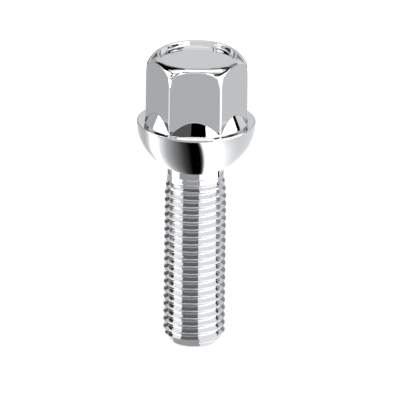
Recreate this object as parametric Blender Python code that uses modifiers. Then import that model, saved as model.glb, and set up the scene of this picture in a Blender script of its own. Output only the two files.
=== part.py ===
# Wheel bolt: one forged and chromed piece with a 17 mm hexagon, a ball seat and an M12 x 1.5 thread.
# Metres, +Z up. The bolt stands on its flat point, its axis on Z, with the origin in the point's face.

import math

import bmesh
import bpy

# Shank, measured upward from the face of the point
shank_length = 0.0353
thread_diameter = 0.01174
thread_pitch = 0.0015
thread_slope = math.radians(30.0)
crest_flat = 0.00035
root_flat = 0.00027
first_crest = 0.00058
point_inset = 0.00154
point_chamfer = 0.0021
neck_inset = 0.00049
neck_length = 0.0013
run_out_length = 0.0041
last_groove_length = 0.0014

# Hexagon and crown, measured upward from the collar's rim and inward from the flats
hex_height = 0.0134
across_flats = 0.01694
hex_edge_radius = 0.00065
crown_inset = 0.0009
crown_slope = math.radians(35.0)
shoulder_radius = 0.00646
shoulder_slope = math.radians(57.0)
corner_blend_radius = 0.00116
corner_draft = math.radians(4.0)
lip_radius = 0.00016
lip_width = 0.00053
recess_depth = 0.00097
recess_draft = math.radians(20.0)
recess_fillet = 0.0002

# Collar and ball seat, measured outward from the flats
flare_reach = 0.00138
flare_angle = math.radians(25.0)
ledge_dip = 0.00038
ledge_width = 0.00143
rim_radius = 0.0003
collar_side_radius = 0.00618
ball_standout = 0.00054
rim_below_ball_centre = 0.00144

# Facets, and how far bodies that are joined reach into each other
round_steps = 60
thread_steps = 28
rim_steps = 4
side_steps = 5
seat_steps = 7
fillet_steps = 3
lip_steps = 3
crown_steps = 2
shoulder_steps = 5
corner_steps = 3
hex_edge_steps = 4
overlap = 0.0006
merge_distance = 0.000001

# What follows from those
crest_radius = thread_diameter / 2
root_radius = crest_radius - (thread_pitch - crest_flat - root_flat) / 2 / math.tan(thread_slope)
point_radius = crest_radius - point_inset
neck_radius = crest_radius - neck_inset
flat_radius = across_flats / 2
corner_radius = flat_radius / math.cos(math.pi / 6)
crown_radius = flat_radius - crown_inset
recess_radius = crown_radius - lip_width
ledge_radius = flat_radius + flare_reach
collar_radius = ledge_radius + ledge_width
ball_radius = collar_radius + ball_standout
ball_centre = shank_length + math.sqrt(ball_radius**2 - neck_radius**2)
rim_height = ball_centre - rim_below_ball_centre
ledge_height = rim_height - ledge_dip
total_height = rim_height + hex_height


def clear_scene():
    for obj in list(bpy.data.objects):
        bpy.data.objects.remove(obj, do_unlink=True)


def new_collection(name):
    made = bpy.data.collections.new(name)
    bpy.context.scene.collection.children.link(made)
    return made


def add_object(name, mesh, collection):
    obj = bpy.data.objects.new(name, mesh)
    collection.objects.link(obj)
    return obj


def as_helper(obj):
    obj.hide_render = True
    obj.display_type = "WIRE"


def arc(centre, radius, start, end, steps):
    """Points (radius, height) of an arc, its angles counted upward from the outward direction."""
    points = []
    for i in range(steps + 1):
        angle = start + (end - start) * i / steps
        points.append((centre[0] + radius * math.cos(angle), centre[1] + radius * math.sin(angle)))
    return points


def turned(name, profile, steps, collection):
    """A body of revolution from a profile that starts and ends on the axis."""
    mesh = bpy.data.meshes.new(name)
    edges = [(i, i + 1) for i in range(len(profile) - 1)]
    mesh.from_pydata([(r, 0.0, z) for r, z in profile], edges, [])
    obj = add_object(name, mesh, collection)
    screw = obj.modifiers.new("Turned", "SCREW")
    screw.axis = "Z"
    screw.angle = math.tau
    screw.steps = steps
    screw.render_steps = steps
    screw.use_merge_vertices = True
    screw.merge_threshold = merge_distance
    return obj


def boolean(obj, operation, other):
    modifier = obj.modifiers.new(f"{operation.title()} {other.name}", "BOOLEAN")
    modifier.operation = operation
    modifier.object = other
    modifier.solver = "EXACT"


def collar_profile():
    """From the flare inside the hexagon, over the ledge and the rim, down the ball seat."""
    blend = math.acos((collar_radius - collar_side_radius) / (ball_radius - collar_side_radius))
    side_centre = (
        collar_radius - collar_side_radius,
        ball_centre - (ball_radius - collar_side_radius) * math.sin(blend),
    )
    inside = collar_side_radius - rim_radius
    rim_start = math.asin((rim_height - rim_radius - side_centre[1]) / inside)
    rim_centre = (side_centre[0] + inside * math.cos(rim_start), rim_height - rim_radius)
    ledge_rise = math.atan2(ledge_dip, rim_centre[0] - ledge_radius)
    seat_end = -math.acos((neck_radius - overlap) / ball_radius)

    flare_top_radius = flat_radius - overlap
    flare_top = ledge_height + (ledge_radius - flare_top_radius) / math.tan(flare_angle)
    profile = [(0.0, flare_top), (flare_top_radius, flare_top), (ledge_radius, ledge_height)]
    profile += arc(rim_centre, rim_radius, math.pi / 2 + ledge_rise, rim_start, rim_steps)
    profile += arc(side_centre, collar_side_radius, rim_start, -blend, side_steps)[1:]
    profile += arc((0.0, ball_centre), ball_radius, -blend, seat_end, seat_steps)[1:]
    profile.append((0.0, profile[-1][1]))
    return profile


def head_profile():
    """From the middle of the recess, over the lip and the rounded shoulder, down past the corners."""
    floor = total_height - recess_depth
    lip_height = total_height - lip_radius
    wall = math.pi - recess_draft
    fillet_centre = (recess_radius - recess_fillet, floor + recess_fillet)
    wall_foot = (
        fillet_centre[0] + recess_fillet * math.cos(recess_draft),
        fillet_centre[1] - recess_fillet * math.sin(recess_draft),
    )
    lip_start = lip_height + lip_radius * math.sin(wall)
    lip_centre = (
        wall_foot[0] + (lip_start - wall_foot[1]) * math.tan(recess_draft) - lip_radius * math.cos(wall),
        lip_height,
    )
    crown = math.pi / 2 - crown_slope
    shoulder = math.pi / 2 - shoulder_slope
    crown_point = (crown_radius + lip_radius * math.cos(crown), lip_height + lip_radius * math.sin(crown))
    shoulder_centre = (
        crown_point[0] - shoulder_radius * math.cos(crown),
        crown_point[1] - shoulder_radius * math.sin(crown),
    )
    inside = shoulder_radius - corner_blend_radius
    blend_centre = (
        shoulder_centre[0] + inside * math.cos(shoulder),
        shoulder_centre[1] + inside * math.sin(shoulder),
    )
    profile = [(0.0, floor)]
    profile += arc(fillet_centre, recess_fillet, -math.pi / 2, -recess_draft, fillet_steps)
    profile += arc(lip_centre, lip_radius, wall, math.pi / 2, lip_steps)
    profile += arc((crown_radius, lip_height), lip_radius, math.pi / 2, crown, crown_steps)
    profile += arc(shoulder_centre, shoulder_radius, crown, shoulder, shoulder_steps)[1:]
    profile += arc(blend_centre, corner_blend_radius, shoulder, corner_draft, corner_steps)[1:]
    blend_end = profile[-1]
    foot = ledge_height - 3 * overlap
    profile += [(blend_end[0] + (blend_end[1] - foot) * math.tan(corner_draft), foot), (0.0, foot)]
    return profile


def hexagon(name, collection):
    """The hexagon from inside the collar to above the crown, its upright edges rounded."""
    foot = ledge_height - 2 * overlap
    top = total_height + overlap
    bpy.ops.mesh.primitive_cylinder_add(
        vertices=6,
        radius=corner_radius,
        depth=top - foot,
        location=(0.0, 0.0, (top + foot) / 2),
        rotation=(0.0, 0.0, math.pi / 6),
    )
    obj = bpy.context.object
    obj.name = name
    obj.data.name = name
    for owner in list(obj.users_collection):
        owner.objects.unlink(obj)
    collection.objects.link(obj)
    mesh = bmesh.new()
    mesh.from_mesh(obj.data)
    weights = mesh.edges.layers.float.new("bevel_weight_edge")
    for edge in mesh.edges:
        first, second = edge.verts
        if abs(first.co.z - second.co.z) > (top - foot) / 2:
            edge[weights] = 1.0
    mesh.to_mesh(obj.data)
    mesh.free()
    bevel = obj.modifiers.new("Rounded edges", "BEVEL")
    bevel.limit_method = "WEIGHT"
    bevel.offset_type = "OFFSET"
    bevel.width = hex_edge_radius * math.tan(math.pi / 6)
    bevel.segments = hex_edge_steps
    return obj


def threaded_bar(name, collection):
    """A bar whose skin is one pitch of the right-hand 60 degree thread, wound from below the point to inside the head."""
    foot = (thread_pitch - root_flat) / 2
    tip = crest_flat / 2
    start = first_crest - 2 * thread_pitch
    turns = math.ceil((shank_length + overlap - start) / thread_pitch) + 1
    outline = [
        (root_radius, -foot),
        (crest_radius, -tip),
        (crest_radius, tip),
        (root_radius, foot),
        (root_radius, thread_pitch - foot),
    ]
    mesh = bmesh.new()
    verts = [mesh.verts.new((r, 0.0, start + z)) for r, z in outline]
    edges = [mesh.edges.new(pair) for pair in zip(verts, verts[1:])]
    bmesh.ops.spin(
        mesh,
        geom=verts + edges,
        axis=(0.0, 0.0, 1.0),
        cent=(0.0, 0.0, 0.0),
        dvec=(0.0, 0.0, thread_pitch / thread_steps),
        angle=math.tau * turns,
        steps=thread_steps * turns,
    )
    bmesh.ops.remove_doubles(mesh, verts=mesh.verts, dist=merge_distance)
    # A point on the axis closes each end, outside what is kept of the bar.
    middle = start + turns * thread_pitch / 2
    below = mesh.verts.new((0.0, 0.0, start - thread_pitch))
    above = mesh.verts.new((0.0, 0.0, start + (turns + 1) * thread_pitch))
    for edge in [edge for edge in mesh.edges if edge.is_boundary]:
        first, second = edge.verts
        mesh.faces.new((first, second, below if first.co.z < middle else above))
    bmesh.ops.recalc_face_normals(mesh, faces=mesh.faces)
    made = bpy.data.meshes.new(name)
    mesh.to_mesh(made)
    mesh.free()
    return add_object(name, made, collection)


def groove_fill_profile():
    """The cone that brings the last groove up to the plain neck."""
    opened = neck_radius + overlap
    rate = last_groove_length / (opened - root_radius)
    inner = root_radius - overlap
    groove_top = shank_length - neck_length
    foot = groove_top - rate * (opened - inner)
    top = shank_length + 2 * overlap
    return [(0.0, top), (opened, top), (opened, groove_top), (inner, foot), (0.0, foot)]


def shank_outline_profile():
    """What the shank is turned to: the neck, the run-out, the thread and the chamfered point."""
    clear = crest_radius + overlap
    top = shank_length + overlap
    neck_foot = shank_length - neck_length
    run_out_rate = run_out_length / neck_inset
    chamfer_rate = point_chamfer / point_inset
    return [
        (0.0, top),
        (neck_radius, top),
        (neck_radius, neck_foot),
        (clear, neck_foot - run_out_rate * (clear - neck_radius)),
        (clear, chamfer_rate * (clear - point_radius)),
        (point_radius, 0.0),
        (0.0, 0.0),
    ]


def chrome():
    material = bpy.data.materials.new("Bright chrome plate")
    material.use_nodes = True
    shader = material.node_tree.nodes["Principled BSDF"]
    shader.inputs["Base Color"].default_value = (0.76, 0.77, 0.78, 1.0)
    shader.inputs["Metallic"].default_value = 1.0
    shader.inputs["Roughness"].default_value = 0.08
    material.diffuse_color = (0.76, 0.77, 0.78, 1.0)
    return material


def build():
    clear_scene()
    parts = new_collection("Wheel bolt")
    helpers = new_collection("Wheel bolt helpers")

    head = hexagon("hexagon", helpers)
    head_outline = turned("head_outline", head_profile(), round_steps, helpers)
    boolean(head, "INTERSECT", head_outline)

    shank = threaded_bar("threaded_bar", helpers)
    groove_fill = turned("groove_fill", groove_fill_profile(), thread_steps, helpers)
    shank_outline = turned("shank_outline", shank_outline_profile(), thread_steps, helpers)
    for turned_helper in (groove_fill, shank_outline):
        turned_helper.rotation_euler.z = math.pi / thread_steps
    boolean(shank, "UNION", groove_fill)
    boolean(shank, "INTERSECT", shank_outline)

    bolt = turned("wheel_bolt", collar_profile(), round_steps, parts)
    bolt.data.materials.append(chrome())
    boolean(bolt, "UNION", head)
    boolean(bolt, "UNION", shank)
    weld = bolt.modifiers.new("Weld", "WELD")
    weld.merge_threshold = merge_distance
    for helper in (head, head_outline, shank, groove_fill, shank_outline):
        as_helper(helper)

    shape = bpy.data.meshes.new_from_object(bolt.evaluated_get(bpy.context.evaluated_depsgraph_get()))
    shape.name = "wheel_bolt"
    bolt.modifiers.clear()
    bolt.data = shape
    shape.shade_smooth()
    shape.set_sharp_from_angle(angle=math.radians(22.0))


build()
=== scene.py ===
# A chromed wheel bolt standing on its point on a white table, in a small photo studio.
# Bolt and studio are drawn in millimetres and scaled to metres as each mesh is made.

import math

import bmesh
import bpy
from mathutils import Matrix, Vector


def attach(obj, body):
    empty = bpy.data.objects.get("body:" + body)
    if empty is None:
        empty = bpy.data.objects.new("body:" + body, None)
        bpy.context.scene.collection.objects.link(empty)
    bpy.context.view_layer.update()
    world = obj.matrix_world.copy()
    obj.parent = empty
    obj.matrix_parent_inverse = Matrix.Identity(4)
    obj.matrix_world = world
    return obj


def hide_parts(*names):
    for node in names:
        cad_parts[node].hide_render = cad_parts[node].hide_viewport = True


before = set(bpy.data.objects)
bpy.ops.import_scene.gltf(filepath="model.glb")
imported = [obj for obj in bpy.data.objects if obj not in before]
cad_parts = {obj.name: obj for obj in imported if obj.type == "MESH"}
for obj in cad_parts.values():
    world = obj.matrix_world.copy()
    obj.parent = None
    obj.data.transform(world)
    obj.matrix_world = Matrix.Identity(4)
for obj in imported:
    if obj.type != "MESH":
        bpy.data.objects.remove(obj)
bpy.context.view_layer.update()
millimetre = 0.001
print("frame loaded")


def linearColour(hexCode):
    channels = [int(hexCode[i : i + 2], 16) / 255 for i in (1, 3, 5)]
    return [c / 12.92 if c <= 0.04045 else ((c + 0.055) / 1.055) ** 2.4 for c in channels] + [1.0]


def addNode(tree, kind, settings, links):
    # settings: node properties, or values by socket name or number; links: socket to output
    node = tree.nodes.new(kind)
    for name, value in settings.items():
        if isinstance(name, int) or name in node.inputs:
            node.inputs[name].default_value = value
        else:
            setattr(node, name, value)
    for name, output in links.items():
        tree.links.new(output, node.inputs[name])
    return node


# The bolt, in millimetres and degrees, upward from the face of its point
boltSizes = {
    # shank: a right-hand metric fine thread, rolled, with a plain neck above it
    "shankLength": 35.3,
    "crestRadius": 5.87,
    "pitch": 1.5,
    "flankSlope": 30.0,
    "crestFlat": 0.19,
    "rootFlat": 0.3,
    "crestRounding": 0.07,
    "rootRounding": 0.1,
    "firstCrest": 0.58,
    "pointRadius": 4.33,
    "pointChamfer": 2.1,
    "pointRounding": 0.12,
    "neckRadius": 5.38,
    "neckLength": 1.3,
    "runOutLength": 4.1,
    "lastGroove": 1.4,
    "grooveBlend": 0.03,
    # collar: ball seat, upright side, rim, and the shallow ledge inside the rim
    "ballRadius": 11.82,
    "ballCentre": 45.825,
    "sideRadius": 8.747,
    "collarRadius": 11.28,
    "rimRadius": 0.15,
    "rimHeight": 44.385,
    "ledgeRadius": 9.75,
    "ledgeDip": 0.16,
    "ledgeRounding": 0.08,
    # hexagon: flared foot, flats, rounded upright edges, rounded shoulder
    "flareAngle": 25.0,
    "flareBlend": 0.04,
    "flatRadius": 8.47,
    "hexEdgeRadius": 0.65,
    "hexHeight": 13.4,
    "crownRadius": 7.57,
    "crownSlope": 35.0,
    "shoulderRadius": 6.46,
    "shoulderSlope": 57.0,
    "cornerBlendRadius": 1.16,
    "cornerDraft": 4.0,
    "shoulderBlend": 0.06,
    # round recess in the crown
    "lipRadius": 0.16,
    "recessRadius": 7.04,
    "recessDepth": 0.97,
    "recessDraft": 12.0,
    "recessFillet": 0.2,
    # how far one body runs into the next, so that they join cleanly
    "joinDepth": 0.6,
    # how finely the mesh is divided: round the axis, then along each stretch of the profile
    "threadColumns": 96,
    "threadSpacing": 0.2,
    "outlineColumns": 144,
    "flatColumns": 30,
    "cornerColumns": 13,
    "rows": {
        "floor": 5,
        "fillet": 6,
        "lip": 6,
        "lipTop": 4,
        "crown": 16,
        "arch": 10,
        "flat": 14,
        "flare": 8,
        "flareFoot": 6,
        "ledgeCorner": 5,
        "ledge": 5,
        "rim": 8,
        "side": 10,
        "ball": 30,
        "crest": 3,
        "root": 4,
        "pointEdge": 4,
    },
    # edges sharper than this stay sharp, and large faces lead the shading of the others
    "sharpAngle": 32.0,
    "largeFaceWeight": 60,
    "weldDistance": 0.0001,
}


def offsetPoint(centre, radius, angle):
    # a radius and height this far from another, the angle counted upward from outward
    return (centre[0] + radius * math.cos(angle), centre[1] + radius * math.sin(angle))


def arcPoints(centre, radius, startAngle, endAngle, steps):
    turn = endAngle - startAngle
    return [offsetPoint(centre, radius, startAngle + turn * i / steps) for i in range(steps + 1)]


def roundedCorner(before, corner, after, radius, steps):
    # an arc that touches both sides of a corner
    here = Vector(corner)
    back = (Vector(before) - here).normalized()
    ahead = (Vector(after) - here).normalized()
    halfAngle = back.angle(ahead) / 2
    reach = radius / math.tan(halfAngle)
    centre = here + (back + ahead).normalized() * radius / math.sin(halfAngle)
    first = here + back * reach - centre
    last = here + ahead * reach - centre
    turn = first.angle_signed(last)
    turned = [Matrix.Rotation(-turn * i / steps, 2) @ first for i in range(steps + 1)]
    return [tuple(centre + arm) for arm in turned]


def softer(first, second, blend, sign):
    # the smaller (sign 1) or larger (sign -1) of two radii, with the crossing rounded over
    share = max(blend - abs(first - second), 0.0) / blend
    return sign * (min(sign * first, sign * second) - share * share * blend / 4)


def spread(start, end, steps):
    # even steps from start, without the end itself
    return [start + (end - start) * i / steps for i in range(steps)]


class HeadShape:
    # The profile of head, collar and seat at any angle round the axis
    def __init__(self, size):
        self.size = size
        self.rows = size["rows"]
        self.top = size["rimHeight"] + size["hexHeight"]
        self.ledge = size["rimHeight"] - size["ledgeDip"]
        self.flareSlope = math.tan(math.radians(size["flareAngle"]))
        self.cornerSlope = math.tan(math.radians(size["cornerDraft"]))
        self.edgeCentre = (size["flatRadius"] - size["hexEdgeRadius"]) / math.cos(math.pi / 6)
        self.cornerTurn = math.atan2(self.edgeCentre / 2, size["flatRadius"])
        self.makeCrown()
        self.makeCollar()

    def makeCrown(self):
        # the recess from its middle to the lip, and the arcs of the shoulder
        size, rows = self.size, self.rows
        lip, fillet = size["lipRadius"], size["recessFillet"]
        self.floor = self.top - size["recessDepth"]
        lipHeight = self.top - lip
        draft = math.radians(size["recessDraft"])
        wall = math.pi - draft
        filletCentre = (size["recessRadius"] - fillet, self.floor + fillet)
        wallFoot = offsetPoint(filletCentre, fillet, -draft)
        wallRise = lipHeight + lip * math.sin(wall) - wallFoot[1]
        lipCentre = (wallFoot[0] + wallRise * math.tan(draft) - lip * math.cos(wall), lipHeight)
        crown = math.radians(90 - size["crownSlope"])
        shoulder = math.radians(90 - size["shoulderSlope"])
        corner = math.radians(size["cornerDraft"])
        inner = [(r, self.floor) for r in spread(0.0, filletCentre[0], rows["floor"])[1:]]
        inner += arcPoints(filletCentre, fillet, -math.pi / 2, -draft, rows["fillet"])
        lipPoints = arcPoints(lipCentre, lip, wall, math.pi / 2, rows["lip"])
        for share in (0.33, 0.67):  # up the wall, closer together toward the lip
            inner.append(tuple(Vector(inner[-1]).lerp(Vector(lipPoints[0]), share)))
        inner += lipPoints
        crownCentre = (size["crownRadius"], lipHeight)
        inner += arcPoints(crownCentre, lip, math.pi / 2, crown, rows["lipTop"])
        self.inner = inner[:-1]
        self.crownPoint = inner[-1]
        self.shoulderCentre = offsetPoint(self.crownPoint, -size["shoulderRadius"], crown)
        blend = size["cornerBlendRadius"]
        inside = size["shoulderRadius"] - blend
        self.blendCentre = offsetPoint(self.shoulderCentre, inside, shoulder)
        self.shoulderEnd, self.blendEnd = arcPoints(self.blendCentre, blend, shoulder, corner, 1)

    def makeCollar(self):
        # the ledge, rim, side and ball seat, down to inside the neck
        size, rows = self.size, self.rows
        side, ball = size["sideRadius"], size["ballRadius"]
        blend = math.acos((size["collarRadius"] - side) / (ball - side))
        sideHeight = size["ballCentre"] - (ball - side) * math.sin(blend)
        sideCentre = (size["collarRadius"] - side, sideHeight)
        inside = side - size["rimRadius"]
        rimHeight = size["rimHeight"] - size["rimRadius"]
        rimStart = math.asin((rimHeight - sideCentre[1]) / inside)
        rimCentre = (sideCentre[0] + inside * math.cos(rimStart), rimHeight)
        ledgeRise = math.atan2(size["ledgeDip"], rimCentre[0] - size["ledgeRadius"])
        rimTop = math.pi / 2 + ledgeRise
        rim = arcPoints(rimCentre, size["rimRadius"], rimTop, rimStart, rows["rim"])
        corner = (size["ledgeRadius"], self.ledge)
        above = (size["ledgeRadius"] - self.flareSlope, self.ledge + 1.0)
        rounding = size["ledgeRounding"]
        outer = roundedCorner(above, corner, rim[0], rounding, rows["ledgeCorner"])
        inmost, outmost = Vector(outer[-1]), Vector(rim[0])
        for i in range(1, rows["ledge"]):
            outer.append(tuple(inmost.lerp(outmost, i / rows["ledge"])))
        outer += rim
        outer += arcPoints(sideCentre, side, rimStart, -blend, rows["side"])[1:]
        seatEnd = -math.acos((size["neckRadius"] - size["joinDepth"]) / ball)
        outer += arcPoints((0.0, size["ballCentre"]), ball, -blend, seatEnd, rows["ball"])[1:]
        self.outer = outer

    def crownRadiusAt(self, height):
        if height < self.blendEnd[1]:
            return self.blendEnd[0] + (self.blendEnd[1] - height) * self.cornerSlope
        centre, radius = self.blendCentre, self.size["cornerBlendRadius"]
        if height >= self.shoulderEnd[1]:
            centre, radius = self.shoulderCentre, self.size["shoulderRadius"]
        return centre[0] + math.sqrt(radius**2 - (height - centre[1]) ** 2)

    def crownHeightAt(self, reach):
        if reach > self.blendEnd[0]:
            return self.blendEnd[1] - (reach - self.blendEnd[0]) / self.cornerSlope
        centre, radius = self.blendCentre, self.size["cornerBlendRadius"]
        if reach <= self.shoulderEnd[0]:
            centre, radius = self.shoulderCentre, self.size["shoulderRadius"]
        return centre[1] + math.sqrt(radius**2 - (reach - centre[0]) ** 2)

    def hexRadius(self, turn):
        # distance from the axis to the hexagon, turn counted from the middle of a flat
        turn = abs((turn + math.pi / 6) % (math.pi / 3) - math.pi / 6)
        if turn < self.cornerTurn:
            return self.size["flatRadius"] / math.cos(turn)
        off = math.pi / 6 - turn
        aside = self.edgeCentre * math.sin(off)
        return self.edgeCentre * math.cos(off) + math.sqrt(
            self.size["hexEdgeRadius"] ** 2 - aside**2
        )

    def columnAt(self, turn):
        # every radius and height down one side of the head, from the recess to inside the neck
        size, rows = self.size, self.rows
        flat = self.hexRadius(turn)
        arch = self.crownHeightAt(flat)  # where the shoulder cuts the flat
        step = 0.01
        change = abs(self.crownRadiusAt(arch + step) - self.crownRadiusAt(arch - step))
        soft = size["shoulderBlend"] / (change / (2 * step))
        start, end = self.crownPoint[1], self.outer[0][1]
        foot = self.ledge + (size["ledgeRadius"] - flat) / self.flareSlope
        flareSoft = size["flareBlend"] / self.flareSlope
        archTop = min(arch + soft, (arch + start) / 2)
        flareEnd = max(foot - flareSoft, (foot + end) / 2)
        heights = spread(start, archTop, rows["crown"])
        heights += spread(archTop, arch - soft, rows["arch"])
        heights += spread(arch - soft, foot + flareSoft, rows["flat"])
        heights += spread(foot + flareSoft, flareEnd, rows["flare"])
        heights += spread(flareEnd, end, rows["flareFoot"])
        points = []
        for height in heights:
            body = softer(self.crownRadiusAt(height), flat, size["shoulderBlend"], 1)
            flare = size["ledgeRadius"] - (height - self.ledge) * self.flareSlope
            points.append((softer(body, flare, size["flareBlend"], -1), height))
        return self.inner + points + self.outer


def meshObject(name, mesh):
    for face in mesh.faces:
        face.smooth = True
    bmesh.ops.recalc_face_normals(mesh, faces=mesh.faces)
    bmesh.ops.scale(mesh, vec=(millimetre,) * 3, verts=mesh.verts)
    data = bpy.data.meshes.new(name)
    mesh.to_mesh(data)
    mesh.free()
    made = bpy.data.objects.new(name, data)
    bpy.context.scene.collection.objects.link(made)
    return made


def closedSkin(name, columns, topHeight, bottomHeight):
    # columns of points round the axis, closed by a point on the axis above and below
    mesh = bmesh.new()
    rings = [[mesh.verts.new(point) for point in column] for column in columns]
    top = mesh.verts.new((0.0, 0.0, topHeight))
    bottom = mesh.verts.new((0.0, 0.0, bottomHeight))
    for left, right in zip(rings, rings[1:] + rings[:1]):
        mesh.faces.new((left[0], right[0], top))
        mesh.faces.new((right[-1], left[-1], bottom))
        for i in range(len(left) - 1):
            mesh.faces.new((left[i], left[i + 1], right[i + 1], right[i]))
    return meshObject(name, mesh)


def roundAxis(turn, point):
    return (point[0] * math.cos(turn), point[0] * math.sin(turn), point[1])


def makeHead(size):
    shape = HeadShape(size)
    corner = shape.cornerTurn
    turns = []
    for side in range(6):
        middle = side * math.pi / 3
        turns += spread(middle - corner, middle + corner, size["flatColumns"])
        turns += spread(middle + corner, middle + math.pi / 3 - corner, size["cornerColumns"])
    columns = []
    for turn in turns:
        # a flat faces the front, at a quarter turn back from +X
        columns.append([roundAxis(turn - math.pi / 2, point) for point in shape.columnAt(turn)])
    return closedSkin("head", columns, shape.floor, shape.outer[-1][1])


def threadProfile(size, root):
    # one pitch of the thread, from root over crest to root, with rounded corners
    tip = size["crestFlat"] / 2
    foot = (size["pitch"] - size["rootFlat"]) / 2
    corners = [
        (root, foot - size["pitch"]),
        (root, -foot),
        (size["crestRadius"], -tip),
        (size["crestRadius"], tip),
        (root, foot),
        (root, size["pitch"] - foot),
    ]
    atRoot = (size["rootRounding"], size["rows"]["root"])
    atCrest = (size["crestRounding"], size["rows"]["crest"])
    profile = []
    for i, (rounding, steps) in enumerate((atRoot, atCrest, atCrest, atRoot), 1):
        arc = roundedCorner(corners[i - 1], corners[i], corners[i + 1], rounding, steps)
        if profile:
            behind, ahead = Vector(profile[-1]), Vector(arc[0])
            gaps = max(round((ahead - behind).length / size["threadSpacing"]), 1)
            profile += [tuple(behind.lerp(ahead, k / gaps)) for k in range(1, gaps)]
        profile += arc
    return profile


def threadRadiusAt(size, root, radius, height):
    # the thread's own radius, with the last groove filled and the run-out and neck turned down
    neckFoot = size["shankLength"] - size["neckLength"]
    opened = size["neckRadius"] + size["joinDepth"]
    aboveGroove = height - neckFoot + size["lastGroove"]
    fill = root + aboveGroove * (opened - root) / size["lastGroove"]
    cutRate = (size["crestRadius"] - size["neckRadius"]) / size["runOutLength"]
    turned = size["neckRadius"] + max(neckFoot - height, 0.0) * cutRate
    filled = softer(radius, fill, size["grooveBlend"], -1)
    return softer(filled, turned, size["grooveBlend"], 1)


def makeThreadedBar(size):
    # the rolled right-hand thread: one pitch of profile, wound up as a single skin
    flank = math.tan(math.radians(size["flankSlope"]))
    root = size["crestRadius"] - (size["pitch"] - size["crestFlat"] - size["rootFlat"]) / 2 / flank
    profile = threadProfile(size, root)
    start = size["firstCrest"] - 2 * size["pitch"]
    turns = math.ceil((size["shankLength"] + size["joinDepth"] - start) / size["pitch"]) + 1
    columns = size["threadColumns"]
    mesh = bmesh.new()
    grid = []
    for k in range(turns * columns + 1):
        lift = start + size["pitch"] * k / columns
        row = [(threadRadiusAt(size, root, r, lift + z), lift + z) for r, z in profile]
        grid.append([mesh.verts.new(roundAxis(math.tau * k / columns, point)) for point in row])
    # the last point of each row meets the first point one turn on
    for k in range(len(grid) - columns):
        grid[k].append(grid[k + columns][0])
    for near, far in zip(grid, grid[1:]):
        for i in range(min(len(near), len(far)) - 1):
            mesh.faces.new((near[i], far[i], far[i + 1], near[i + 1]))
    # both ends close on a point of the axis, well clear of the length that is kept
    middle = start + turns * size["pitch"] / 2
    below = mesh.verts.new((0.0, 0.0, start - size["pitch"]))
    above = mesh.verts.new((0.0, 0.0, start + (turns + 1) * size["pitch"]))
    for edge in [edge for edge in mesh.edges if edge.is_boundary]:
        first, second = edge.verts
        mesh.faces.new((first, second, below if first.co.z < middle else above))
    return meshObject("threadedBar", mesh)


def makeTurned(name, size, corners, rounding):
    # a body of revolution, its sharp turns eased where a rounding is given
    profile = []
    for i, ease in enumerate(rounding, 1):
        if ease:
            steps = size["rows"]["pointEdge"]
            profile += roundedCorner(corners[i - 1], corners[i], corners[i + 1], ease, steps)
        else:
            profile.append(corners[i])
    count = size["outlineColumns"]
    turns = [math.tau * (i + 0.5) / count for i in range(count)]
    columns = [[roundAxis(turn, point) for point in profile] for turn in turns]
    return closedSkin(name, columns, corners[0][1], corners[-1][1])


def joined(base, steps):
    # applies exact Booleans in order and removes the bodies used up
    for operation, other in steps:
        modifier = base.modifiers.new(operation, "BOOLEAN")
        modifier.operation = operation
        modifier.object = other
        modifier.solver = "EXACT"
    graph = bpy.context.evaluated_depsgraph_get()
    graph.update()
    shape = bpy.data.meshes.new_from_object(base.evaluated_get(graph))
    base.modifiers.clear()
    base.data = shape
    for _, other in steps:
        bpy.data.objects.remove(other)
    return base


def makeShank(size):
    # the threaded bar, cut to length and chamfered at its point
    clear = size["crestRadius"] + size["joinDepth"]
    top = size["shankLength"] + size["joinDepth"]
    point = size["pointRadius"]
    chamferRate = size["pointChamfer"] / (size["crestRadius"] - point)
    chamferEnd = (clear, chamferRate * (clear - point))
    corners = [(0.0, top), (clear, top), chamferEnd, (point, 0.0), (0.0, 0.0)]
    outline = makeTurned("shankOutline", size, corners, [0.0, 0.0, size["pointRounding"]])
    return joined(makeThreadedBar(size), [("INTERSECT", outline)])


def makeBolt(size):
    head = makeHead(size)
    bolt = joined(head, [("UNION", makeShank(size))])
    bolt.name = "chromedWheelBolt"
    mesh = bmesh.new()
    mesh.from_mesh(bolt.data)
    bmesh.ops.remove_doubles(mesh, verts=mesh.verts, dist=size["weldDistance"] * millimetre)
    mesh.to_mesh(bolt.data)
    mesh.free()
    bolt.data.shade_smooth()
    bolt.data.set_sharp_from_angle(angle=math.radians(size["sharpAngle"]))
    weighted = bolt.modifiers.new("Even shading", "WEIGHTED_NORMAL")
    weighted.keep_sharp = True
    weighted.weight = size["largeFaceWeight"]
    return bolt


# Decorative chrome plate over cold-forged steel: a near mirror, pale neutral grey. Forging leaves
# a faint ripple under the plate. Rolling leaves satin crests and fine lines round the shank
chromePlate = {
    "colour": "#CBCCCE",
    "roughness": 0.03,
    "crestRoughness": 0.42,
    "crestStart": 5.81,  # radii in mm between which the flank turns to satin crest
    "crestEnd": 5.868,
    "threadTop": 34.0,
    "rippleSize": 2.2,  # mm from swell to swell
    "rippleHeight": 0.0012,
    "rippleDetail": 2.0,
    "rippleRoughness": 0.4,
    "lineSpacing": 0.3,  # mm: the real lines, hundredths apart, are too fine to show
    "lineStretch": 0.15,
    "lineHeight": 0.0014,
    "lineDetail": 1.0,
}


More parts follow.
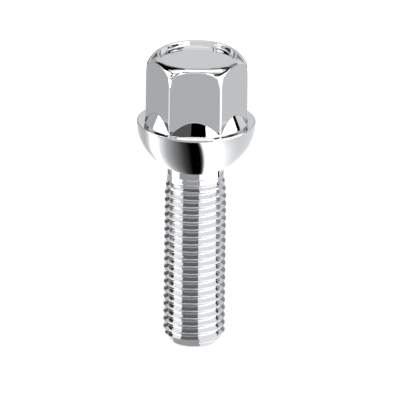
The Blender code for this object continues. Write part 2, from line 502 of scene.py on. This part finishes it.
def makeChrome(look):
    material = bpy.data.materials.new("chromePlateOnForgedSteel")
    material.use_nodes = True
    tree = material.node_tree
    shader = tree.nodes["Principled BSDF"]
    shader.inputs["Base Color"].default_value = linearColour(look["colour"])
    shader.inputs["Metallic"].default_value = 1.0
    coordinates = addNode(tree, "ShaderNodeTexCoord", {}, {})
    inMillimetres = addNode(
        tree,
        "ShaderNodeVectorMath",
        {"operation": "SCALE", "Scale": 1 / millimetre},
        {0: coordinates.outputs["Object"]},
    )
    # satin only near the crest radius, and only below the neck
    flat = addNode(
        tree,
        "ShaderNodeVectorMath",
        {"operation": "MULTIPLY", 1: (1, 1, 0)},
        {0: inMillimetres.outputs[0]},
    )
    away = addNode(tree, "ShaderNodeVectorMath", {"operation": "LENGTH"}, {0: flat.outputs[0]})
    height = addNode(tree, "ShaderNodeSeparateXYZ", {}, {0: inMillimetres.outputs[0]})
    belowNeck = addNode(
        tree,
        "ShaderNodeMath",
        {"operation": "LESS_THAN", 1: look["threadTop"]},
        {0: height.outputs["Z"]},
    )
    crest = addNode(
        tree,
        "ShaderNodeMapRange",
        {
            "interpolation_type": "SMOOTHSTEP",
            "From Min": look["crestStart"],
            "From Max": look["crestEnd"],
        },
        {"Value": away.outputs["Value"]},
    )
    onThread = addNode(
        tree,
        "ShaderNodeMath",
        {"operation": "MULTIPLY"},
        {0: crest.outputs[0], 1: belowNeck.outputs[0]},
    )
    roughness = addNode(
        tree,
        "ShaderNodeMapRange",
        {"To Min": look["roughness"], "To Max": look["crestRoughness"]},
        {"Value": onThread.outputs[0]},
    )
    tree.links.new(roughness.outputs[0], shader.inputs["Roughness"])
    # the forging's ripple, everywhere
    ripple = addNode(
        tree,
        "ShaderNodeTexNoise",
        {
            "Scale": 1 / look["rippleSize"],
            "Detail": look["rippleDetail"],
            "Roughness": look["rippleRoughness"],
        },
        {"Vector": inMillimetres.outputs[0]},
    )
    rippled = addNode(
        tree,
        "ShaderNodeBump",
        {"Strength": 1.0, "Distance": look["rippleHeight"] * millimetre},
        {"Height": ripple.outputs["Fac"]},
    )
    # the rolling dies' lines: noise drawn out round the shank, below the neck
    drawnOut = addNode(
        tree,
        "ShaderNodeVectorMath",
        {
            "operation": "MULTIPLY",
            1: (look["lineStretch"], look["lineStretch"], 1 / look["lineSpacing"]),
        },
        {0: inMillimetres.outputs[0]},
    )
    lines = addNode(
        tree,
        "ShaderNodeTexNoise",
        {"Scale": 1.0, "Detail": look["lineDetail"]},
        {"Vector": drawnOut.outputs[0]},
    )
    linesOnShank = addNode(
        tree,
        "ShaderNodeMath",
        {"operation": "MULTIPLY"},
        {0: lines.outputs["Fac"], 1: belowNeck.outputs[0]},
    )
    lined = addNode(
        tree,
        "ShaderNodeBump",
        {"Strength": 1.0, "Distance": look["lineHeight"] * millimetre},
        {"Height": linesOnShank.outputs[0], "Normal": rippled.outputs[0]},
    )
    tree.links.new(lined.outputs[0], shader.inputs["Normal"])
    return material


bolt = makeBolt(boltSizes)
bolt.data.materials.clear()
bolt.data.materials.append(makeChrome(chromePlate))
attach(bolt, "root")
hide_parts("wheel_bolt")
print("bolt made", len(bolt.data.polygons), "faces")


def towards(turn, rise, reach):
    # a point this far off: degrees to the right of the front, and above the level
    turn, rise = math.radians(turn), math.radians(rise)
    level = math.cos(rise)
    return Vector((math.sin(turn) * level, -math.cos(turn) * level, math.sin(rise))) * reach


# The camera is parallel: the photograph shows no perspective
cameraPlace = {
    "azimuth": 1.6,
    "elevation": 20.3,
    "roll": 0.67,
    "pictureWidth": 400,  # pixels
    "pixelsPerMillimetre": 5.26,
    "lookHeight": 28.17,
    "axisOffset": 0.88,
    "distance": 600.0,
    "farLimit": 100.0,  # metres
}


def makeCamera(place):
    data = bpy.data.cameras.new("studioCamera")
    data.type = "ORTHO"
    data.ortho_scale = place["pictureWidth"] / place["pixelsPerMillimetre"] * millimetre
    data.clip_end = place["farLimit"]
    camera = bpy.data.objects.new("studioCamera", data)
    bpy.context.scene.collection.objects.link(camera)
    back = towards(place["azimuth"], place["elevation"], 1.0)
    aim = back.to_track_quat("Z", "Y").to_matrix()
    aim = aim @ Matrix.Rotation(math.radians(place["roll"]), 3, "Z")
    target = Vector((0.0, 0.0, place["lookHeight"])) + aim @ Vector((place["axisOffset"], 0.0, 0.0))
    stand = (target + back * place["distance"]) * millimetre
    camera.matrix_world = Matrix.Translation(stand) @ aim.to_4x4()
    bpy.context.scene.camera = camera


makeCamera(cameraPlace)
print("camera made")

# The white table: matt paper that stays white to the camera and in reflections, with a shadow
whiteTable = {
    "paper": "#959595",
    "glow": 0.8,
    "halfWidth": 4000.0,
    "cells": 8,
}


def makeFloor(table):
    material = bpy.data.materials.new("mattWhitePaper")
    material.use_nodes = True
    tree = material.node_tree
    tree.nodes.clear()
    path = addNode(tree, "ShaderNodeLightPath", {}, {})
    seen = addNode(
        tree,
        "ShaderNodeMath",
        {"operation": "MAXIMUM"},
        {0: path.outputs["Is Camera Ray"], 1: path.outputs["Is Glossy Ray"]},
    )
    seenAll = addNode(
        tree,
        "ShaderNodeMath",
        {"operation": "MAXIMUM"},
        {0: seen.outputs[0], 1: path.outputs["Is Transmission Ray"]},
    )
    share = addNode(
        tree,
        "ShaderNodeMath",
        {"operation": "MULTIPLY", 1: table["glow"]},
        {0: seenAll.outputs[0]},
    )
    glow = addNode(
        tree,
        "ShaderNodeEmission",
        {"Color": linearColour("#FFFFFF")},
        {"Strength": share.outputs[0]},
    )
    paper = addNode(tree, "ShaderNodeBsdfDiffuse", {"Color": linearColour(table["paper"])}, {})
    both = addNode(tree, "ShaderNodeAddShader", {}, {0: glow.outputs[0], 1: paper.outputs[0]})
    addNode(tree, "ShaderNodeOutputMaterial", {}, {"Surface": both.outputs[0]})
    mesh = bmesh.new()
    cells = table["cells"]
    bmesh.ops.create_grid(mesh, x_segments=cells, y_segments=cells, size=table["halfWidth"])
    floor = meshObject("whiteTable", mesh)
    floor.data.materials.append(material)


# Soft boxes and boards of the studio, seen only by the chrome. "turn" and "rise" are degrees, 0
# toward the camera and + to its right or up; "light" is brightness, where 1 is a white wall
studioBoards = {
    "middle": 40.0,  # height in mm that the upright and overhead boards stand round
    "reach": 420.0,
    # upright boards: what the ledge, the blends and the flanks of the thread mirror
    "aroundGrid": (12, 6),
    "around": {
        "leftSoftBox": {"turn": (-110, -62), "rise": (-5.4, 48), "light": 2.3},
        "leftEdge": {"turn": (-61, -58), "rise": (41, 62), "light": 0.0},
        "leftWall": {"turn": (-150, -110), "rise": (-5.4, 30), "light": 0.6},
        "frontShade": {"turn": (-62, -11), "rise": (17, 34), "light": 0.13},
        "frontFlag": {"turn": (-11, 25), "rise": (23.5, 34), "light": 0.0},
        "frontLow": {"turn": (-57, 25), "rise": (-5.4, 17), "light": 1.0},
        "frontGlow": {"turn": (-57, 55), "rise": (34, 52), "light": 1.67},
        "frontGlowTop": {"turn": (-57, 55), "rise": (52, 64), "light": 2.6},
        "rightSoftBox": {"turn": (25, 106), "rise": (-5.4, 44), "light": 2.3},
        "rightEdge": {"turn": (106, 116), "rise": (-5.4, 44), "light": 0.0},
        "backWall": {"turn": (174, 186), "rise": (8, 32), "light": 0.9},
        "leftBackShade": {"turn": (-174, -150), "rise": (4, 30), "light": 0.16},
        "rightBackShade": {"turn": (150, 174), "rise": (4, 30), "light": 0.38},
    },
    # overhead sheets and the flags under them: what the crown and shoulder mirror. Their pole
    # leans back; "edge" is turn, lower and upper rise, from left to right
    "overheadTilt": 50.6,
    "overheadGrid": (8, 4),
    "overhead": {
        "ceiling": {
            "edge": [(-130, 48, 86), (130, 48, 86)],
            "reach": 416,
            "light": 0.93,
        },
        "overheadStrip": {
            "edge": [(-76, 27, 38), (-50, 27, 33), (-36, 29, 36), (-18, 33, 41), (52, 34, 42)],
            "reach": 412,
            "light": 2.3,
        },
        "frontEdge": {
            "edge": [(-24, 40.5, 43), (33, 40.5, 43)],
            "reach": 408,
            "light": 0.95,
        },
        "frontRim": {
            "edge": [(-21, 43, 46.6), (26, 43, 47)],
            "reach": 408,
            "light": 0.58,
        },
        "frontSill": {
            "edge": [
                (-28, 28, 32.5),
                (-18, 29, 34.5),
                (-6, 31, 35),
                (12, 31, 35),
                (20, 29, 32.5),
                (42, 27.5, 31),
            ],
            "reach": 408,
            "light": 0.5,
        },
        "rightRim": {
            "edge": [(26, 43, 47), (36, 43, 48), (50, 43, 48)],
            "reach": 408,
            "light": 0.3,
        },
        "rightRimDark": {
            "edge": [(50, 43, 48), (58, 41.5, 48.5), (70, 37, 49), (76, 42, 48)],
            "reach": 408,
            "light": 0.07,
        },
        "rightShade": {
            "edge": [(76, 44, 50), (84, 46, 51), (96, 46, 52), (110, 40, 50)],
            "reach": 408,
            "light": 0.33,
        },
        "leftShade": {
            "edge": [(-110, 28, 46), (-92, 26, 46), (-84, 28, 44), (-77, 31, 42), (-72, 36, 41)],
            "reach": 408,
            "light": 0.33,
        },
        "leftRim": {
            "edge": [
                (-104, 44, 50),
                (-84, 46, 51),
                (-72, 45, 49.5),
                (-60, 44, 48.5),
                (-48, 44, 48),
                (-36, 43, 46.5),
                (-22, 41.5, 45),
            ],
            "reach": 404,
            "light": 0.14,
        },
        "leftFlag": {
            "edge": [
                (-113, 44.6, 46.6),
                (-96, 44.6, 49),
                (-84, 43, 49.2),
                (-78, 41, 47.5),
                (-66, 39, 46.5),
                (-60, 36, 45.7),
                (-48, 37, 45),
                (-42, 39, 45),
                (-36, 39.5, 43.5),
                (-28, 40, 42.5),
                (-22, 41.5, 43),
            ],
            "reach": 400,
            "light": 0.0,
        },
        "leftStreak": {
            "edge": [
                (-76, 37.5, 41),
                (-66, 35.2, 39),
                (-60, 33, 37),
                (-54, 30.8, 34),
                (-50, 27.5, 31.5),
                (-47, 23, 28),
                (-44, 21, 26),
            ],
            "reach": 400,
            "light": 0.0,
        },
        "leftStreakEnd": {
            "edge": [(-50, 13, 22), (-46, 13, 22)],
            "reach": 402,
            "light": 0.12,
        },
        "rightFlag": {
            "edge": [
                (33, 22, 26.5),
                (40, 21.5, 27.5),
                (46, 22.5, 29.8),
                (51, 26, 32),
                (56, 30, 35.5),
                (62, 33.5, 39),
                (67, 34.5, 42),
            ],
            "reach": 400,
            "light": 0.0,
        },
    },
    # boards laid on the table, "reach" mm from the axis: what the flats and the shank mirror
    "tableLift": 0.1,
    "tableGrid": (12, 2),
    "table": {
        "pointBoard": {"turn": (-60, 17), "reach": (4.45, 8), "light": 0.5},
        "pointRightBoard": {"turn": (17, 102), "reach": (4.45, 8), "light": 1.2},
        "frontFirstBoard": {"turn": (-43, 16), "reach": (8, 16), "light": 0.31},
        "frontNextBoard": {"turn": (-49, 17), "reach": (16, 34), "light": 0.31},
        "frontBoard": {"turn": (-54, 17), "reach": (34, 75), "light": 0.31},
        "frontFarBoard": {"turn": (-67, 17), "reach": (75, 115), "light": 0.5},
        "farBoard": {"turn": (-76, 34), "reach": (115, 190), "light": 0.69},
        "edgeBoard": {"turn": (-46, -34), "reach": (190, 235), "light": 0.3},
        "lastBoard": {"turn": (-57, 17), "reach": (235, 600), "light": 0.5},
        "rightNearPanel": {"turn": (17, 102), "reach": (8, 75), "light": 2.0},
        "rightPanel": {"turn": (17, 102), "reach": (75, 115), "light": 2.0},
        "rightFarPanel": {"turn": (34, 98), "reach": (115, 190), "light": 2.0},
        "rightLastPanel": {"turn": (20, 104), "reach": (190, 600), "light": 2.0},
        "rightEdgeBoard": {"turn": (102, 112), "reach": (8, 115), "light": 0.0},
        "rightNearBoard": {"turn": (112, 155), "reach": (8, 95), "light": 0.28},
        "rightBoard": {"turn": (98, 150), "reach": (115, 190), "light": 0.85},
        "leftFirstPanel": {"turn": (-84, -43), "reach": (8, 16), "light": 2.2},
        "leftNextPanel": {"turn": (-90, -49), "reach": (16, 34), "light": 2.2},
        "leftNearPanel": {"turn": (-96, -54), "reach": (34, 75), "light": 2.2},
        "leftPanel": {"turn": (-110, -67), "reach": (75, 115), "light": 2.2},
        "leftFarPanel": {"turn": (-104, -76), "reach": (115, 190), "light": 2.0},
        "leftLastPanel": {"turn": (-112, -46), "reach": (190, 235), "light": 2.2},
        "leftLimitPanel": {"turn": (-112, -57), "reach": (235, 600), "light": 2.2},
        "leftFirstBoard": {"turn": (-160, -84), "reach": (8, 16), "light": 0.1},
        "leftNextBoard": {"turn": (-160, -90), "reach": (16, 34), "light": 0.1},
        "leftNearBoard": {"turn": (-160, -96), "reach": (34, 95), "light": 0.1},
        "leftBoard": {"turn": (-150, -110), "reach": (95, 115), "light": 0.6},
        "leftFarBoard": {"turn": (-150, -104), "reach": (115, 190), "light": 0.63},
        "leftLastBoard": {"turn": (-180, -114), "reach": (190, 900), "light": 0.2},
        "rightLastBoard": {"turn": (112, 180), "reach": (190, 900), "light": 0.5},
    },
}


def emitter(name, light):
    # a lit or black studio sheet: even, with no gloss of its own
    material = bpy.data.materials.new(name)
    material.use_nodes = True
    tree = material.node_tree
    tree.nodes.clear()
    settings = {"Color": linearColour("#FFFFFF"), "Strength": light}
    glow = addNode(tree, "ShaderNodeEmission", settings, {})
    addNode(tree, "ShaderNodeOutputMaterial", {}, {"Surface": glow.outputs[0]})
    return material


def makeBoard(name, columns, material):
    # columns of points, from one side of the board to the other
    mesh = bmesh.new()
    grid = [[mesh.verts.new(point) for point in column] for column in columns]
    for left, right in zip(grid, grid[1:]):
        for j in range(len(left) - 1):
            mesh.faces.new((left[j], right[j], right[j + 1], left[j + 1]))
    board = meshObject(name, mesh)
    board.data.materials.append(material)
    board.visible_camera = False
    board.visible_diffuse = False
    board.visible_shadow = False


def shares(steps):
    return [i / steps for i in range(steps + 1)]


def between(ends, share):
    return ends[0] + (ends[1] - ends[0]) * share


def alongEdge(edge, share):
    # turn, lower and upper rise at a share of the way along an overhead sheet
    reached = share * (len(edge) - 1)
    k = min(int(reached), len(edge) - 2)
    return Vector(edge[k]).lerp(Vector(edge[k + 1]), reached - k)


def makeBoards(studio):
    middle = Vector((0, 0, studio["middle"]))
    across, up = studio["aroundGrid"]
    for name, board in studio["around"].items():
        columns = []
        for i in shares(across):
            turn = between(board["turn"], i)
            column = [towards(turn, between(board["rise"], j), studio["reach"]) for j in shares(up)]
            columns.append([middle + point for point in column])
        makeBoard(name, columns, emitter(name, board["light"]))
    lean = Matrix.Rotation(math.radians(studio["overheadTilt"] - 90), 4, "X")
    across, up = studio["overheadGrid"]
    for name, board in studio["overhead"].items():
        columns = []
        for i in shares(across * (len(board["edge"]) - 1)):
            turn, low, high = alongEdge(board["edge"], i)
            column = [towards(turn, between((low, high), j), board["reach"]) for j in shares(up)]
            columns.append([middle + lean @ point for point in column])
        makeBoard(name, columns, emitter(name, board["light"]))
    lift = Vector((0, 0, studio["tableLift"]))
    across, out = studio["tableGrid"]
    for name, board in studio["table"].items():
        columns = []
        for i in shares(across):
            turn = between(board["turn"], i)
            column = [towards(turn, 0, between(board["reach"], j)) for j in shares(out)]
            columns.append([point + lift for point in column])
        makeBoard(name, columns, emitter(name, board["light"]))


# A ring just under the collar, in millimetres: what the ball seat mirrors. "shades" is its light
# at each turn. It glows only toward the seat, and the thread below doesn't mirror it
seatRing = {
    "height": 35.25,
    "inner": 5.42,
    "outer": 34.5,
    "grid": (72, 2),
    "shades": [
        (-180, 1.0),
        (-140, 0.8),
        (-97, 0.7),
        (-88, 1.0),
        (-80, 1.7),
        (-62, 1.7),
        (-57, 1.25),
        (-46, 0.66),
        (-32, 0.31),
        (-18, 0.07),
        (-8, 0.003),
        (-4, 0.0),
        (6, 0.0),
        (8.5, 0.08),
        (10.5, 0.58),
        (13.5, 2.0),
        (37, 2.0),
        (50, 1.45),
        (62, 1.15),
        (75, 1.0),
        (180, 1.0),
    ],
    "swing": 0.3,  # degrees that the shades turn for each mm outward, none at swingCentre
    "swingCentre": 20.0,
}


def makeSeatRing(ring):
    material = bpy.data.materials.new("ringUnderTheSeat")
    material.use_nodes = True
    tree = material.node_tree
    tree.nodes.clear()
    coordinates = addNode(tree, "ShaderNodeTexCoord", {}, {})
    turned = addNode(
        tree,
        "ShaderNodeMapping",
        {"Rotation": (0, 0, math.radians(90)), "Scale": (1, 1, 0)},
        {"Vector": coordinates.outputs["Object"]},
    )
    sweep = addNode(
        tree,
        "ShaderNodeTexGradient",
        {"gradient_type": "RADIAL"},
        {"Vector": turned.outputs[0]},
    )
    away = addNode(tree, "ShaderNodeVectorMath", {"operation": "LENGTH"}, {0: turned.outputs[0]})
    swing = ring["swing"] / 360  # as a share of the whole turn
    swung = addNode(
        tree,
        "ShaderNodeMath",
        {"operation": "MULTIPLY_ADD", 1: swing / millimetre, 2: -swing * ring["swingCentre"]},
        {0: away.outputs["Value"]},
    )
    position = addNode(
        tree,
        "ShaderNodeMath",
        {"operation": "ADD"},
        {0: sweep.outputs["Fac"], 1: swung.outputs[0]},
    )
    ramp = addNode(tree, "ShaderNodeValToRGB", {}, {"Fac": position.outputs[0]})
    elements = ramp.color_ramp.elements
    brightest = max(light for _, light in ring["shades"])
    while len(elements) < len(ring["shades"]):
        elements.new(0.5)
    for element, (turn, light) in zip(elements, ring["shades"]):
        element.position = (turn + 180) / 360
        element.color = [light / brightest] * 3 + [1.0]
    glow = addNode(
        tree,
        "ShaderNodeEmission",
        {"Strength": brightest},
        {"Color": ramp.outputs["Color"]},
    )
    clear = addNode(tree, "ShaderNodeBsdfTransparent", {}, {})
    side = addNode(tree, "ShaderNodeNewGeometry", {}, {})
    oneSided = addNode(
        tree,
        "ShaderNodeMixShader",
        {},
        {0: side.outputs["Backfacing"], 1: glow.outputs[0], 2: clear.outputs[0]},
    )
    addNode(tree, "ShaderNodeOutputMaterial", {}, {"Surface": oneSided.outputs[0]})
    lift = Vector((0, 0, ring["height"]))
    around, out = ring["grid"]
    ends = (ring["inner"], ring["outer"])
    columns = []
    for i in shares(around):
        column = [towards(360 * i, 0, between(ends, j)) for j in shares(out)]
        columns.append([point + lift for point in column])
    makeBoard("ringUnderTheSeat", columns, material)


makeFloor(whiteTable)
makeBoards(studioBoards)
makeSeatRing(seatRing)
print("studio made")

world = bpy.data.worlds.new("studio")
world.use_nodes = True
world.node_tree.nodes["Background"].inputs["Color"].default_value = linearColour("#FFFFFF")
bpy.context.scene.world = world
bpy.context.scene.view_settings.view_transform = "Standard"
